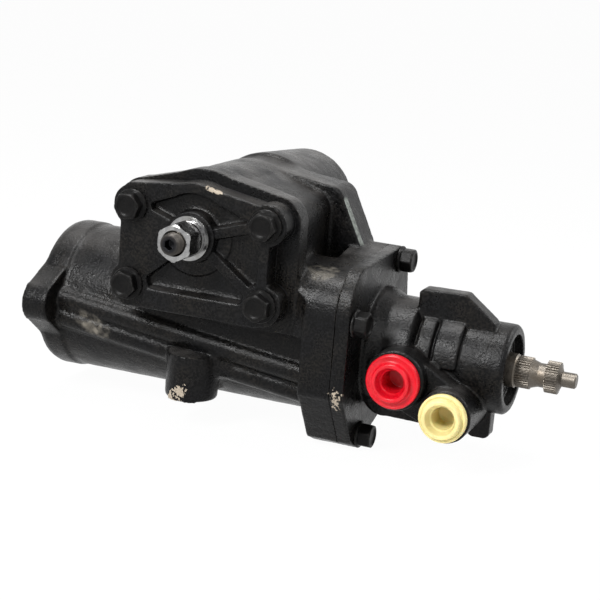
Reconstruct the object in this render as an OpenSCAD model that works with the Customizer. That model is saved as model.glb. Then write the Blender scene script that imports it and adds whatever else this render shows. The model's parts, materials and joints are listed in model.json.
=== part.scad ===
// Power steering gear: a worm and ball nut piston turns a toothed sector shaft.
// The worm axis runs along X, the sector shaft along Y and the cover faces -Y.
// Sizes are in millimetres.

/* [Power cylinder] */
// Bore of the power cylinder
bore_d = 80; // [74:0.5:84]
// Wall of the power cylinder
barrel_wall = 9.5; // [8:0.5:12]
// Sector axis to the outside of the closed end
barrel_back = 127; // [122:0.5:140]
// Thickness of the closed end
end_wall = 12; // [8:0.5:15]
// Length of the thick rim at the closed end
rim_len = 19; // [12:0.5:26]
// How far that rim stands proud of the barrel
rim_proud = 1.25; // [0.75:0.25:4]
// Sector axis to the face that the valve housing bolts to
valve_face = 96; // [92:0.5:104]
// Length of the bolting block at that end
block_len = 22; // [20:0.5:28]
// Worm axis plane to the front of that block
block_front = 65; // [63:0.5:70]

/* [Gear] */
// Module of the rack and sector teeth
tooth_module = 6.5; // [6:0.1:6.8]
// Pitch radius of the sector
sector_pitch_r = 38; // [37:0.25:40]
// Height of the rack's pitch line above the worm axis
rack_pitch_z = 31; // [30:0.25:32]
// Pressure angle of the teeth
pressure_angle = 25; // [24:0.5:27]
// Thinning of each tooth flank, for running clearance
flank_clear = 0.15; // [0.1:0.05:0.3]
// Width of the sector teeth
sector_w = 38; // [30:1:44]
// Lead of the worm
worm_lead = 14; // [12:0.5:15]
// Diameter of the circulating balls
ball_d = 7; // [6:0.25:7.5]
// Diameter of the circle that the ball centres run on
ball_circle_d = 27.5; // [26:0.25:28]
// Outside diameter of the worm
worm_d = 25.4; // [24:0.2:25.6]

/* [Piston] */
// Length of the piston
piston_len = 126; // [122:1:130]
// Sector axis to the closed end of the piston
piston_back = 80; // [78:0.5:82]
// Running clearance on the radius of a shaft or piston
run_clear = 0.08; // [0.04:0.01:0.1]

/* [Sector shaft] */
// Worm axis plane to the end of the output boss
output_boss_end = 116; // [110:1:122]
// Diameter of the output boss at its end
output_boss_d = 73; // [68:0.5:78]
// Diameter of the sector shaft's journals
journal_d = 34.9; // [32:0.1:36]
// Wall of the needle bearings round them
needle_wall = 4.5; // [3.5:0.25:5]
// Diameter of the output serrations
output_d = 32; // [30:0.5:34]
// Length of the output serrations
output_len = 30; // [24:1:36]
// Number of output serrations
output_teeth = 32; // [24:2:40]
// Diameter of the output end beyond the serrations
thread_d = 22; // [18:0.5:24]
// Length of that end
thread_len = 22; // [16:1:30]

/* [Sector cover] */
// Worm axis plane to the face that the cover bolts to
cover_face = 62; // [61:0.5:66]
// Thickness of the cover
cover_t = 14; // [12:0.5:18]
// Depth of the pockets between the cover's ribs
pocket_depth = 6.5; // [3:0.5:7]
// Width of the cover's ribs
rib_w = 7; // [5:0.5:9]
// Bolt spacing along X
cover_bolt_x = 93; // [92:0.5:96]
// Bolt spacing along Z
cover_bolt_z = 51; // [49:0.5:54]
// Thickness of the gasket
gasket_t = 1; // [0.5:0.25:2]
// Thread diameter of the cover bolts
cover_bolt_d = 12; // [10:0.5:12.5]

/* [Adjuster] */
// Diameter of the adjuster screw
adjuster_d = 14; // [12:0.5:15]
// Size across the flats of the lock nut
locknut_af = 22; // [20:0.5:24]
// Length of the lock nut
locknut_len = 20; // [14:0.5:24]
// Length of screw in front of the lock nut
adjuster_tip = 6; // [3:0.5:9]

/* [Valve housing] */
// Sector axis to the end of the nose
nose_end = 196; // [192:0.5:200]
// Outside diameter of the nose
nose_d = 58.6; // [56:0.2:62]
// Thickness of the bolting flange
valve_flange_t = 9; // [7:0.5:12]
// Radius of the bolt circle
valve_bolt_r = 60; // [59:0.5:62]
// Thread diameter of the valve housing bolts
valve_bolt_d = 10; // [8:0.5:10.5]
// Bore for the rotary valve
valve_bore_d = 47; // [44:0.5:50]
// Worm axis plane to the faces of the ports
port_face = 50; // [47:0.5:54]
// Diameter of the holes in the ports
port_d = 18; // [16:0.5:19]
// Distance along X between the ports
port_gap_x = 34.5; // [33.5:0.5:38]

/* [Input shaft] */
// Diameter of the input splines
spline_d = 20.6; // [19:0.1:22]
// Number of input splines
spline_teeth = 36; // [30:2:40]
// Diameter of the pilot at the tip
pilot_d = 9.8; // [8:0.1:11]
// Sector axis to the tip
tip_end = 237; // [234:0.5:242]

/* [Frame bosses] */
// Diameter of the circle that the three bosses lie on
lug_circle_d = 125; // [120:1:130]
// Diameter of the bosses
lug_d = 35; // [32:0.5:38]
// Height of their faces below the worm axis
lug_face = 44; // [42:0.5:46]
// Diameter of the tapped holes
lug_hole_d = 11.8; // [10:0.1:13]
// Depth of the tapped holes
lug_hole_depth = 22; // [16:1:24]

/* [Hidden] */
$fn = 64;
eps = 0.01;

// Main radii and stations, in the axes of the gear: worm axis on X, sector axis at x = 0
bore_r = bore_d / 2;
barrel_r = bore_r + barrel_wall;
rim_r = barrel_r + rim_proud;
sector_z = rack_pitch_z + sector_pitch_r;
end_round = 6;
seat_clear = 0.1;

// Teeth
addendum = tooth_module;
dedendum = 1.25 * tooth_module;
pitch = PI * tooth_module;
sector_base_r = sector_pitch_r * cos(pressure_angle);
sector_tip_r = sector_pitch_r + addendum;
sector_root_r = sector_pitch_r - dedendum;
rack_tip_z = rack_pitch_z + addendum;
rack_root_z = rack_pitch_z - dedendum;
hub_r = 26;
sweep_r = sector_tip_r + 1.5;

// Ball screw
ball_r = ball_d / 2;
ball_circle_r = ball_circle_d / 2;
ball_clear = 0.25;
groove_r = ball_r + ball_clear;
groove_sides = 8;
groove_steps = 18;
nut_r = ball_circle_r + 0.55;
ball_turns = 2.5;
worm_end = -25;
guide_drop = 12;
guide_floor = 6;
guide_r = ball_r + 1;
guide_z = -nut_r - guide_drop;
clamp_t = 1.5;
clamp_half = 6;
clamp_gap = 0.5;
pocket_half = 9;
pocket_len = 54;
worm_turns = [-2.2, 4.6];
piston_front = piston_len - piston_back;
piston_ring_x = -piston_back + 8;
piston_ring_d = 4;

// Sector shaft, along Y
journal_r = journal_d / 2;
bearing_r = journal_r + run_clear + needle_wall;
chamber_back = 24;
roof_end = 10;
web_end = chamber_back + 14;
cover_boss_r = 31;
cover_boss_in = 25;
bearing_len = 28;
output_boss_r = output_boss_d / 2;
boss_draft = 5;
seal_len = 8;
ring_t = 1.5;
seal_front = output_boss_end - 2.5;
seal_back = seal_front - seal_len;
output_start = output_boss_end + 2;
thread_start = output_start + output_len;
serration = 1.2;
shaft_end = thread_start + thread_len;
// The origin of the part is on the sector axis, where the output serrations end
origin = [0, thread_start, sector_z];

// Cover, drawn in X and Z with the sector axis as its centre
cover_back = cover_face + gasket_t;
cover_front = cover_back + cover_t;
pattern_x = 3.5;
pattern_z = -11;
bolt_xz = [for (s = [[-1, -1], [1, -1], [1, 1], [-1, 1]])
    [pattern_x + s[0] * cover_bolt_x / 2, pattern_z + s[1] * cover_bolt_z / 2]];
lobe_r = 13.5;
edge_r = 8;
dome_r = 34.5;
flange_dome_r = 41.5;
flange_lobe_r = 17;
flange_depth = 16;
adjuster_boss_r = 16.5;
adjuster_boss_h = 2.5;
rib_wall = 7;
bearing_disc_r = 25.5;
bearing_disc_h = 2;
washer_r = 14.2;
washer_t = 3;
washer_front = cover_front + adjuster_boss_h + washer_t;
locknut_front = washer_front + locknut_len;
adjuster_end = locknut_front + adjuster_tip;
adjuster_r = adjuster_d / 2;
adjuster_head_r = adjuster_r + 2.5;
adjuster_head_t = 4;
journal_end = cover_back - 5;
head_start = journal_end - 3;
head_clear = 0.4;

// Bolts, with the radius and height of the flange and of the hexagon as shares of the thread diameter
bolt_clear = 0.25;
cover_hole_r = cover_bolt_d / 2 + bolt_clear;
valve_hole_r = valve_bolt_d / 2 + bolt_clear;
cover_head = [0.88, 0.2, 0.77, 0.75];
valve_head = [0.9, 0.2, 0.84, 1];
hole_end = 2;
cover_bolt_depth = 13;
valve_bolt_depth = 16;
valve_bolt_turn = 64;
valve_bolt_count = 4;
valve_bolt_yz = [for (k = [0 : valve_bolt_count - 1]) let (a = valve_bolt_turn + 360 / valve_bolt_count * k)
    [valve_bolt_r * cos(a), valve_bolt_r * sin(a)]];

// Valve housing, along X
valve_front = valve_face + valve_flange_t;
joint_ear_r = valve_bolt_d / 2 + 4;
joint_top = 60;
joint_corner_r = 30;
joint_back = [34, 36, 14];
joint_foot_z = -19;
joint_foot_r = 8;
joint_toe = [11, 1, 5.5];
block_drop = 5;
shoulder_low = 13;
shoulder_back = 14;
shoulder_start = 50;
shoulder_bend = [66, 80];
pilot_r = bore_r + 2;
pilot_len = 12;
seal_groove = [4, 3.4, 2.5];
valve_bore_r = valve_bore_d / 2;
sleeve_start = valve_face + 16;
sleeve_len = 54;
sleeve_end = sleeve_start + sleeve_len;
bearing_start = sleeve_end + 5;
input_bearing_len = 10;
seal_start = bearing_start + input_bearing_len + 1;
input_seal_len = 6;
nose_r = nose_d / 2;
pad_r = nose_r + 2.7;
hub_front_r = nose_r + 6.7;
hub_back_r = nose_r + 10.7;
hub_step = [4, 12];
pad_x = [valve_front + 33, valve_front + 45, valve_front + 63.5];
pad_groove = 2;
pad_floor_r = nose_r - 0.5;
pad_round = 3;
pad_low = 1;
nose_round = 2;
nose_recess_r = 23;
snap_start = seal_start + input_seal_len;
port_x = 132.8;
port_z = -7;
port_drop = 17.3;
pressure_xz = [port_x, port_z];
return_xz = [port_x + port_gap_x, port_z - port_drop];
pressure_boss_r = 19.5;
return_boss_r = 17;
port_r = port_d / 2;
port_depth = 22;
seat_len = 5;
seat_hole_r = 4;
plug_inset = [2, 1.5];
plug_clear = 0.3;
plug_ring = 3.5;
plug_wall = 1.7;
plug_depth = 14;
plug_flange_t = 4;
plug_out = 8;
plug_edge = 0.8;

// Worm and valve shafts, along X
worm_r = worm_d / 2;
worm_journal_r = 17;
worm_bearing_r = 30;
worm_head_r = 20;
spool_r = 13;
spool_start = valve_face + 8;
bar_r = 4;
bar_start = 66;
bar_end = seal_start + 18;
pin_ring_r = (worm_head_r + spool_r) / 2;
pin_r = 1.5;
pin_half = 4;
pin_clear = 0.05;
sleeve_r = valve_bore_r - run_clear;
ring_depth = 2.5;
input_journal_r = 11;
input_bearing_r = 16;
input_seal_r = 20;
spline_r = spline_d / 2;
pilot_tip_r = pilot_d / 2;
pilot_tip_len = 9;
spline_len = 8;
spline_depth = 0.9;
neck_r = 7.7;
neck_len = 6;
tip_round = 0.8;
bar_clear = 0.3;

// Frame bosses, tapped from below
lug_r = lug_d / 2;
lug_top = 13;
lug_web_half = 0.8 * lug_r;
lug_web_in = 15;
lug_web_up = 3;
lug_front = [-7, -47];
lug_circle_r = lug_circle_d / 2;
lug_xy = [for (a = [-90, 30, 150]) lug_front + lug_circle_r * [cos(a), sin(a) + 1]];

// Share of each radius at which a belt's straight runs meet its circles
belt_grip = 0.98;

// A belt pulled round circles given as [x, y, r], counterclockwise
module belt(c) {
    n = len(c);
    for (k = c)
        translate([k[0], k[1]])
            circle(r = k[2]);
    polygon([for (i = [0 : n - 1])
        let (a = c[i], b = c[(i + 1) % n], dx = b[0] - a[0], dy = b[1] - a[1], p = a[2] * belt_grip,
            q = b[2] * belt_grip, w = atan2(dy, dx) - acos((p - q) / norm([dx, dy])))
        each [[a[0] + p * cos(w), a[1] + p * sin(w)], [b[0] + q * cos(w), b[1] + q * sin(w)]]]);
}

// Turns a drawing of (y, z) into a block from x0 to x1
module along_x(x0, x1) {
    translate([x0, 0, 0])
        rotate([90, 0, 90])
            linear_extrude(height = x1 - x0)
                children();
}

// Turns a drawing of (x, z) into a block from y0 to y1
module along_y(y0, y1) {
    translate([0, y1, 0])
        rotate([90, 0, 0])
            linear_extrude(height = y1 - y0)
                children();
}

// Turns a profile of (radius, x) about the worm axis
module spun_x() {
    rotate([0, 90, 0])
        rotate_extrude()
            children();
}

// Turns a profile of (radius, y) about the sector axis
module spun_y() {
    translate([0, 0, sector_z])
        rotate([-90, 0, 0])
            rotate_extrude()
                children();
}

// A ring about the worm axis
module ring_x(r_in, r_out, x0, x1) {
    spun_x()
        translate([r_in, x0])
            square([r_out - r_in, x1 - x0]);
}

// A ring about the sector axis
module ring_y(r_in, r_out, y0, y1) {
    spun_y()
        translate([r_in, y0])
            square([r_out - r_in, y1 - y0]);
}

// A round bar along Y through (x, z)
module bar_y(xz, r, y0, y1) {
    along_y(y0, y1)
        translate(xz)
            circle(r = r);
}

// A round bar along X through (y, z)
module bar_x(yz, r, x0, x1) {
    along_x(x0, x1)
        translate(yz)
            circle(r = r);
}

// A round bar between two points
module rod(p, q, r) {
    d = q - p;
    translate(p)
        rotate([0, acos(d[2] / norm(d)), atan2(d[1], d[0])])
            cylinder(r = r, h = norm(d));
}

// A toothed outline for splines and serrations
module serrated(r, depth, count) {
    polygon([for (i = [0 : count - 1], k = [0 : 3])
        let (a = 360 / count * (i + [0.1, 0.4, 0.6, 0.9][k]), q = k == 0 || k == 3 ? r - depth : r)
        [q * cos(a), q * sin(a)]]);
}

// Point of the worm's helix at turn t, at the given radius
function helix(t, r) = [worm_lead * t, r * sin(360 * t), r * cos(360 * t)];

// The ball groove along the helix from turn t0 to t1, with its flats outside the round groove
module ball_groove(t0, t1) {
    sides = groove_sides;
    n = ceil((t1 - t0) * groove_steps);
    slope = atan2(worm_lead, 2 * PI * ball_circle_r);
    corner_r = groove_r / cos(180 / sides);
    bow = 1 / cos(180 / groove_steps);
    points = [for (i = [0 : n], k = [0 : sides - 1])
        let (t = t0 + (t1 - t0) * i / n, a = 360 * k / sides, u = corner_r * cos(a), v = corner_r * sin(a),
            side = [cos(slope), -sin(slope) * cos(360 * t), sin(slope) * sin(360 * t)])
        helix(t, (ball_circle_r + u) * (u > eps ? bow : 1)) + v * side];
    faces = concat(
        [[for (k = [0 : sides - 1]) k]],
        [for (i = [0 : n - 1], k = [0 : sides - 1])
            let (a = i * sides + k, b = i * sides + (k + 1) % sides)
            each [[a, a + sides, b], [b, a + sides, b + sides]]],
        [[for (k = [sides - 1 : -1 : 0]) n * sides + k]]);
    polyhedron(points, faces, convexity = 8);
}

// Involute flank of the sector, from the base circle to the tip, on the right of the tooth at angle zero
function inv(a) = tan(a) - a * PI / 180;
function half_tooth(r) = (PI * tooth_module / 4 - flank_clear) / sector_pitch_r * 180 / PI
    + (inv(pressure_angle) - inv(acos(min(1, sector_base_r / r)))) * 180 / PI;

// One sector tooth pointing down, drawn about the sector axis
module sector_tooth() {
    n = 8;
    start = max(sector_base_r, sector_root_r);
    flank = [for (i = [0 : n]) let (r = start + (sector_tip_r - start) * i / n, a = half_tooth(r))
        [r * sin(a), -r * cos(a)]];
    base = half_tooth(start);
    polygon(concat([[0, 0], [(sector_root_r - 2) * sin(base), -(sector_root_r - 2) * cos(base)]], flank,
        [for (i = [n : -1 : 0]) [-flank[i][0], flank[i][1]]],
        [[-(sector_root_r - 2) * sin(base), -(sector_root_r - 2) * cos(base)]]));
}

// The space between two rack teeth, drawn in X and Z
module rack_space() {
    half = pitch / 4 + flank_clear;
    lean = tan(pressure_angle);
    top = addendum + 8;
    polygon([[-half + dedendum * lean, rack_root_z], [half - dedendum * lean, rack_root_z],
        [half + top * lean, rack_pitch_z + top], [-half - top * lean, rack_pitch_z + top]]);
}

// A flanged hexagon bolt of thread diameter d with its seat at zero and its shank downwards
module bolt(d, depth, head) {
    cylinder(r = d * head[0], h = d * head[1]);
    cylinder(r = d * head[2], h = d * head[3], $fn = 6);
    translate([0, 0, -depth])
        cylinder(r = d / 2, h = depth + eps);
}

// Outline of the bolted joint between the two housings, drawn in Y and Z, with its top lowered by drop
module joint_outline(drop) {
    b = valve_bolt_yz;
    r = joint_corner_r - drop;
    belt([[b[3][0], b[3][1], joint_ear_r], joint_back, [b[0][0], b[0][1], joint_ear_r],
        [-block_front + r, joint_top - joint_corner_r, r],
        [-block_front + joint_foot_r, joint_foot_z, joint_foot_r],
        [b[2][0] - joint_toe[0], b[2][1] + joint_toe[1], joint_toe[2]], [b[2][0], b[2][1], joint_ear_r]]);
}

// Outline of the cover without its bolt lobes, about the sector axis
module cover_outline() {
    left = bolt_xz[0][0];
    right = bolt_xz[1][0] - 5;
    low = bolt_xz[0][1] - 7;
    belt([[left, low, edge_r], [right, low, edge_r], [right, bolt_xz[2][1] + 4, edge_r],
        [0, 0, dome_r], [left, bolt_xz[3][1] + 7, edge_r]]);
}

// Outline of the cover with its bolt lobes
module cover_plan() {
    cover_outline();
    for (p = bolt_xz)
        translate(p)
            circle(r = lobe_r);
}

// Opening in the housing under the cover, about the sector axis
module chamber_opening() {
    circle(r = cover_boss_r + 1);
    intersection() {
        circle(r = sweep_r);
        translate([-sweep_r, -sweep_r])
            square([2 * sweep_r, sweep_r + 4]);
    }
}

// The sector axis is the centre of a drawing in X and Z
module at_sector() {
    translate([0, sector_z])
        children();
}

// Puts everything into the frame of the part
module framed() {
    translate(-origin)
        children();
}

// Castings

module barrel() {
    spun_x()
        polygon([[0, -barrel_back], [rim_r - end_round, -barrel_back],
            [rim_r - end_round * (1 - sin(45)), -barrel_back + end_round * (1 - cos(45))],
            [rim_r, -barrel_back + end_round], [rim_r, -barrel_back + rim_len],
            [barrel_r, -barrel_back + rim_len + rim_proud], [barrel_r, valve_face], [0, valve_face]]);
}

// Raised oil galleries along the front of the barrel and the ear that they start from
module galleries() {
    ear = [-barrel_back, -barrel_r - 6, 4];
    ear_r = 14;
    gallery_r = 8;
    start_x = -barrel_back + 8;
    end_x = valve_face - block_len + 4;
    bar_x([ear[1], ear[2]], ear_r, ear[0] + 1, ear[0] + rim_len);
    along_x(ear[0] + 1, ear[0] + rim_len)
        belt([[ear[1], ear[2], ear_r], [0, 0, rim_r - end_round]]);
    rod([start_x, -barrel_r + 3, 8], [end_x, -barrel_r + 4, -15], gallery_r);
    difference() {
        rod([start_x, -barrel_r + 3, -4], [end_x, -barrel_r + 10, -29], gallery_r);
        translate([lug_xy[0][0], lug_xy[0][1], -lug_top])
            cylinder(r = lug_r + 2, h = 2 * gallery_r);
    }
}

module frame_lugs() {
    for (p = lug_xy)
        translate([p[0], p[1], -lug_face]) {
            cylinder(r = lug_r, h = lug_face - lug_top);
            translate([-lug_web_half, p[1] < 0 ? 0 : -p[1] + lug_web_in, lug_web_up])
                cube([2 * lug_web_half, abs(p[1]) - lug_web_in, lug_face - lug_top - lug_web_up]);
        }
}

// The chamber behind the cover flange, the web that ties it to the bolting block and the output boss
module sector_chamber() {
    b = bolt_xz;
    wall_low = -sector_z + 24;
    web_low = -sector_z + 14;
    chamfer = 3;
    along_y(-cover_face, -cover_face + flange_depth)
        at_sector()
            belt([[b[0][0], b[0][1] - 4, flange_lobe_r - 2], [b[1][0], b[1][1] - 2, flange_lobe_r + 1],
                [b[2][0], b[2][1], flange_lobe_r], [0, 0, flange_dome_r],
                [b[3][0], b[3][1], flange_lobe_r - 1]]);
    along_y(-cover_face + 2, roof_end + 4)
        at_sector()
            belt([[-sweep_r + 4, wall_low, 11], [sweep_r + 2, wall_low, 11],
                [b[2][0] - 4, b[2][1] - 2, flange_lobe_r - 4], [0, 0, flange_dome_r - 1.2],
                [b[3][0] + 4, b[3][1] - 2, flange_lobe_r - 5]]);
    along_y(roof_end, web_end)
        at_sector()
            belt([[-sweep_r + 6, web_low + 10, 12], [sweep_r - 2, web_low, 12], [valve_face - 22, -9, 8],
                [valve_face - 39, 19, 11], [0, 0, flange_dome_r - 3], [b[3][0] + 7, b[3][1] - 8, 11]]);
    spun_y()
        polygon([[0, web_end - 1], [output_boss_r + boss_draft, web_end - 1],
            [output_boss_r, output_boss_end - chamfer], [output_boss_r - chamfer, output_boss_end],
            [0, output_boss_end]]);
}

// The bolting block and the shoulder that carries it over to the chamber
module valve_block() {
    along_x(valve_face - block_len, valve_face)
        joint_outline(block_drop);
    intersection() {
        along_x(shoulder_start, valve_face - 1)
            joint_outline(block_drop);
        translate([0, 0, shoulder_low])
            linear_extrude(height = joint_top)
                polygon([[shoulder_start, -shoulder_back], [shoulder_start, -cover_face + 1],
                    [shoulder_bend[0], -cover_face + 1], [shoulder_bend[1], -block_front],
                    [valve_face, -block_front], [valve_face, -shoulder_back]]);
    }
}

module gear_housing() {
    color("#26262a")
        framed()
            difference() {
                union() {
                    barrel();
                    valve_block();
                    sector_chamber();
                    galleries();
                    frame_lugs();
                }
                ring_x(0, bore_r, -barrel_back + end_wall, valve_face + eps);
                ring_x(0, pilot_r + seat_clear, valve_face - pilot_len, valve_face + eps);
                along_y(-cover_face - eps, chamber_back)
                    at_sector()
                        chamber_opening();
                ring_y(0, bearing_r + seat_clear, chamber_back - eps, output_boss_end + eps);
                for (p = bolt_xz)
                    bar_y([p[0], p[1] + sector_z], cover_hole_r, -cover_face - eps,
                        -cover_face + cover_bolt_depth + hole_end);
                for (p = valve_bolt_yz)
                    bar_x(p, valve_hole_r, valve_face - valve_bolt_depth - hole_end, valve_face + eps);
                for (p = lug_xy)
                    translate([p[0], p[1], -lug_face - eps])
                        cylinder(r = lug_hole_d / 2, h = lug_hole_depth + eps);
            }
}

// Outline of one raised pad, drawn in X and Z, with its lower corners rounded
module pad_outline(x0, x1) {
    belt([[x0 + pad_round, pad_low + pad_round, pad_round], [x1 - pad_round, pad_low + pad_round, pad_round],
        [x1 - pad_round, 2 * pad_r, pad_round], [x0 + pad_round, 2 * pad_r, pad_round]]);
}

module valve_body() {
    spun_x()
        polygon([[0, valve_face], [hub_back_r, valve_face], [hub_back_r, valve_front + hub_step[0]],
            [hub_front_r, valve_front + hub_step[1]], [hub_front_r, pad_x[0] - 2 * pad_groove],
            [pad_r, pad_x[0] - pad_groove], [pad_floor_r, pad_x[0] - pad_groove], [pad_floor_r, pad_x[2]],
            [nose_r, pad_x[2]], [nose_r, nose_end - nose_round], [nose_r - nose_round, nose_end],
            [0, nose_end]]);
    for (k = [0, 1])
        intersection() {
            ring_x(0, pad_r, pad_x[k], pad_x[k + 1] - pad_groove);
            along_y(-2 * pad_r, 2 * pad_r)
                pad_outline(pad_x[k], pad_x[k + 1] - pad_groove);
        }
    difference() {
        ring_x(worm_bearing_r + seat_clear, pilot_r, valve_face - pilot_len, valve_face + eps);
        ring_x(pilot_r - seal_groove[2], pilot_r + 1, valve_face - pilot_len + seal_groove[0],
            valve_face - pilot_len + seal_groove[0] + seal_groove[1]);
    }
    along_x(valve_face, valve_front)
        joint_outline(0);
}

// The ports, their gallery and the lugs of the valve housing
module valve_features() {
    bar_y(pressure_xz, pressure_boss_r, -port_face, 0);
    bar_y(return_xz, return_boss_r, -port_face, 8);
    along_y(-port_face + 9, 4)
        belt([[return_xz[0], return_xz[1], return_boss_r - 1],
            [pressure_xz[0], pressure_xz[1], pressure_boss_r - 1]]);
    along_y(-26, 12)
        belt([[valve_front + 14, -24, 15], [return_xz[0], return_xz[1], return_boss_r - 2],
            [valve_front + 14, 0, 15]]);
    fin = [valve_front + 28, nose_end - 12];
    along_y(-15, -3)
        polygon([[fin[0], 15], [fin[0], pad_r + 12], [fin[0] + 3, pad_r + 14.5], [fin[1] - 20, pad_r + 15],
            [fin[1], nose_r + 2.5], [fin[1] + 3, 15]]);
    tab = [nose_end - 25, nose_end - 10];
    along_y(-6, 6)
        belt([[tab[0] + 4, -nose_r - 14, 4], [tab[1] - 4, -nose_r - 14, 4], [tab[1] - 3, -nose_r + 6, 3],
            [tab[0] + 3, -nose_r + 6, 3]]);
}

module valve_housing() {
    color("#2a2a2c")
        framed()
            difference() {
                union() {
                    valve_body();
                    valve_features();
                }
                ring_x(0, valve_bore_r, valve_face - eps, sleeve_end + 3);
                ring_x(0, worm_bearing_r + seat_clear, valve_face - pilot_len - eps, valve_face);
                ring_x(0, input_bearing_r + seat_clear, sleeve_end, seal_start);
                ring_x(0, input_seal_r + seat_clear, seal_start, snap_start + ring_t);
                ring_x(0, nose_recess_r, snap_start + ring_t - eps, nose_end + eps);
                for (p = valve_bolt_yz)
                    bar_x(p, valve_hole_r, valve_face - eps, valve_front + eps);
                for (p = [pressure_xz, return_xz]) {
                    bar_y(p, port_r, -port_face - eps, -port_face + port_depth);
                    bar_y(p, seat_hole_r, -port_face, -valve_bore_r / 2);
                }
            }
}

module sector_cover() {
    color("#242426")
        framed()
            difference() {
                union() {
                    along_y(-cover_front + pocket_depth, -cover_back)
                        at_sector()
                            cover_plan();
                    along_y(-cover_front, -cover_front + pocket_depth + eps)
                        at_sector()
                            cover_ribs();
                    along_y(-cover_front + pocket_depth - bearing_disc_h, -cover_back)
                        at_sector()
                            bearing_disc();
                    ring_y(0, adjuster_boss_r, -cover_front - adjuster_boss_h, -cover_back);
                    ring_y(0, cover_boss_r, -cover_back - eps, -cover_boss_in);
                }
                ring_y(0, bearing_r + seat_clear, -journal_end - 2, -cover_boss_in + eps);
                ring_y(0, adjuster_r + seat_clear, -cover_front - adjuster_boss_h - eps, -journal_end);
                for (p = bolt_xz)
                    bar_y([p[0], p[1] + sector_z], cover_hole_r, -cover_front - eps, -cover_back + eps);
            }
}

// Raised disc over the bearing, left out of the pocket above the upper ribs
module bearing_disc() {
    difference() {
        circle(r = bearing_disc_r);
        polygon([[0, 0], 2 * bolt_xz[2], [0, 2 * dome_r], 2 * bolt_xz[3]]);
    }
}

// Raised rim, ribs and lobes on the front of the cover, about the sector axis
module cover_ribs() {
    left = bolt_xz[0][0];
    difference() {
        cover_outline();
        belt([[left + rib_wall, bolt_xz[0][1], 1], [bolt_xz[1][0] - 5, bolt_xz[1][1], 1],
            [bolt_xz[2][0] - 5, bolt_xz[2][1] - 3, 1], [0, 0, dome_r - rib_wall],
            [left + rib_wall, bolt_xz[3][1], 1]]);
    }
    for (p = bolt_xz) {
        translate(p)
            circle(r = lobe_r);
        rotate(atan2(p[1], p[0]))
            translate([0, -rib_w / 2])
                square([norm(p), rib_w]);
    }
    polygon([[0, 0], bolt_xz[0], [left - edge_r, bolt_xz[0][1]], [left - edge_r, bolt_xz[3][1]], bolt_xz[3]]);
}

module cover_gasket() {
    color("#1b1b1b")
        framed()
            along_y(-cover_back, -cover_face)
                at_sector()
                    difference() {
                        cover_plan();
                        chamber_opening();
                        for (p = bolt_xz)
                            translate(p)
                                circle(r = cover_hole_r);
                    }
}

// Fasteners

module cover_bolts() {
    color("#1e1e20")
        framed()
            for (p = bolt_xz)
                translate([p[0], -cover_front, p[1] + sector_z])
                    rotate([90, 0, 0])
                        bolt(cover_bolt_d, cover_t + gasket_t + cover_bolt_depth, cover_head);
}

module valve_bolts() {
    color("#1e1e20")
        framed()
            for (p = valve_bolt_yz)
                translate([valve_front, p[0], p[1]])
                    rotate([0, 90, 0])
                        bolt(valve_bolt_d, valve_flange_t + valve_bolt_depth, valve_head);
}

module adjuster_screw() {
    socket_af = 6;
    color("#b9bcc0")
        framed()
            difference() {
                union() {
                    ring_y(0, adjuster_r, -adjuster_end, -head_start);
                    ring_y(0, adjuster_head_r, -head_start - eps, -head_start + adjuster_head_t);
                }
                translate([0, -adjuster_end + 6, sector_z])
                    rotate([90, 0, 0])
                        cylinder(d = socket_af / cos(30), h = 10, $fn = 6);
            }
}

module adjuster_locknut() {
    collar_len = 5;
    color("#c9ccd0")
        framed()
            difference() {
                union() {
                    translate([0, -washer_front - collar_len + eps, sector_z])
                        rotate([90, 0, 0])
                            cylinder(d = locknut_af / cos(30), h = locknut_len - collar_len - eps, $fn = 6);
                    ring_y(0, locknut_af / 2 + 0.4, -washer_front - collar_len, -washer_front);
                }
                ring_y(0, adjuster_r + seat_clear, -locknut_front - eps, -washer_front + eps);
            }
}

module adjuster_washer() {
    color("#c2b9a6")
        framed()
            ring_y(adjuster_r + seat_clear, washer_r, -washer_front, -washer_front + washer_t);
}

// Bearings and seals

module cover_bearing() {
    color("#8f9296")
        framed()
            ring_y(journal_r + run_clear, bearing_r, -cover_boss_in - bearing_len, -cover_boss_in);
}

module housing_bearing() {
    color("#8f9296")
        framed()
            for (y = [chamber_back, seal_back - bearing_len])
                ring_y(journal_r + run_clear, bearing_r, y, y + bearing_len);
}

module output_seal() {
    color("#1a1a1a")
        framed()
            ring_y(journal_r + run_clear, bearing_r, seal_back, seal_front);
}

module output_snap_ring() {
    color("#6b6d70")
        framed()
            ring_y(journal_r + 1, bearing_r, seal_front, seal_front + ring_t);
}

module worm_bearing() {
    color("#9a9da1")
        framed()
            ring_x(worm_journal_r + run_clear, worm_bearing_r, valve_face - pilot_len, valve_face);
}

module valve_seal_ring() {
    color("#161616")
        framed()
            translate([valve_face - pilot_len + seal_groove[0], 0, 0])
                ring_x(pilot_r - seal_groove[2] + seat_clear, pilot_r + seat_clear / 2, seat_clear,
                    seal_groove[1] - seat_clear);
}

module port_seats() {
    color("#b58f45")
        framed()
            for (p = [pressure_xz, return_xz])
                along_y(-port_face + port_depth - seat_len, -port_face + port_depth)
                    translate(p)
                        difference() {
                            circle(r = port_r - seat_clear);
                            circle(r = seat_hole_r);
                        }
}

module input_bearing() {
    color("#9a9da1")
        framed()
            ring_x(input_journal_r + run_clear, input_bearing_r, bearing_start,
                bearing_start + input_bearing_len);
}

module input_seal() {
    color("#151515")
        framed()
            spun_x()
                polygon([[input_journal_r + run_clear, seal_start], [input_seal_r, seal_start],
                    [input_seal_r, snap_start], [input_journal_r + 6, snap_start],
                    [input_journal_r + 3, snap_start - 2], [input_journal_r + run_clear, snap_start - 1]]);
}

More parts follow.
